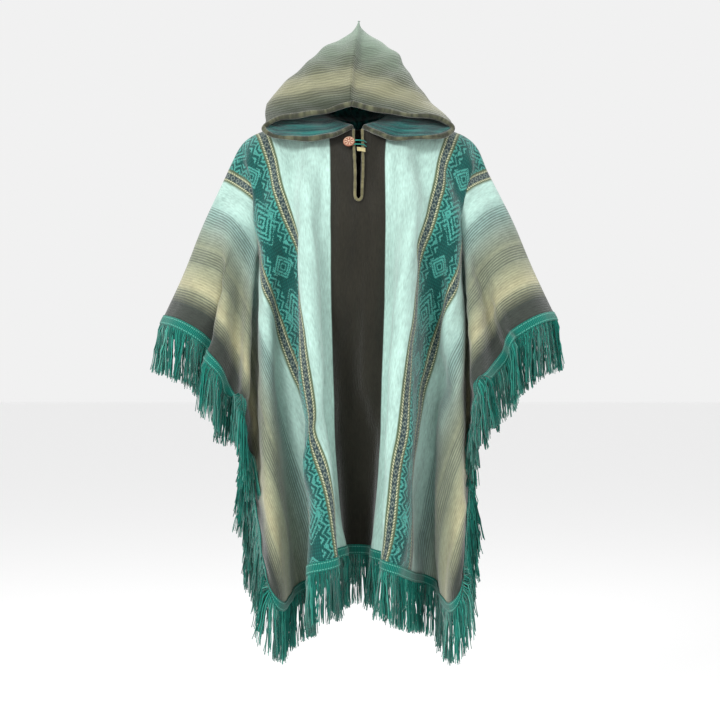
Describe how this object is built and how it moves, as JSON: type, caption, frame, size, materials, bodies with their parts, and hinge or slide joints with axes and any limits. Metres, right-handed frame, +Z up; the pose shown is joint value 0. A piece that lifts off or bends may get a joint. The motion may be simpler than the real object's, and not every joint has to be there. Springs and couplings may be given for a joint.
{
  "type": "hooded poncho",
  "caption": "Hooded woven wool poncho in its worn shape, striped, with a buttoned neck slit and a fringe all round.",
  "frame": {"origin": "middle of the neck opening, between the shoulders, where a wearer or a hanger holds it", "axes": "+Z up, the front faces -Y, +X to the right of someone facing the front"},
  "size_m": [0.7916, 0.4579, 1.2689],
  "materials": {
    "cloth": "brushed, striped",
    "hood_cloth": "brushed, striped",
    "lining": "brushed",
    "binding": "matte",
    "trim": "matte",
    "fringe": "matte",
    "button": "satin, carved",
    "loop": "matte"
  },
  "bodies": {
    "root": {"front": "cloth", "back": "cloth", "hood_left": "hood_cloth", "hood_right": "hood_cloth", "hood_lining_left": "lining", "hood_lining_right": "lining", "slit_binding": "binding", "trim_front": "trim", "trim_back": "trim", "fringe_front": "fringe", "fringe_back": "fringe", "fringe_left": "fringe", "fringe_right": "fringe", "button": "button", "button_loop": "loop"}
  },
  "joints": []
}
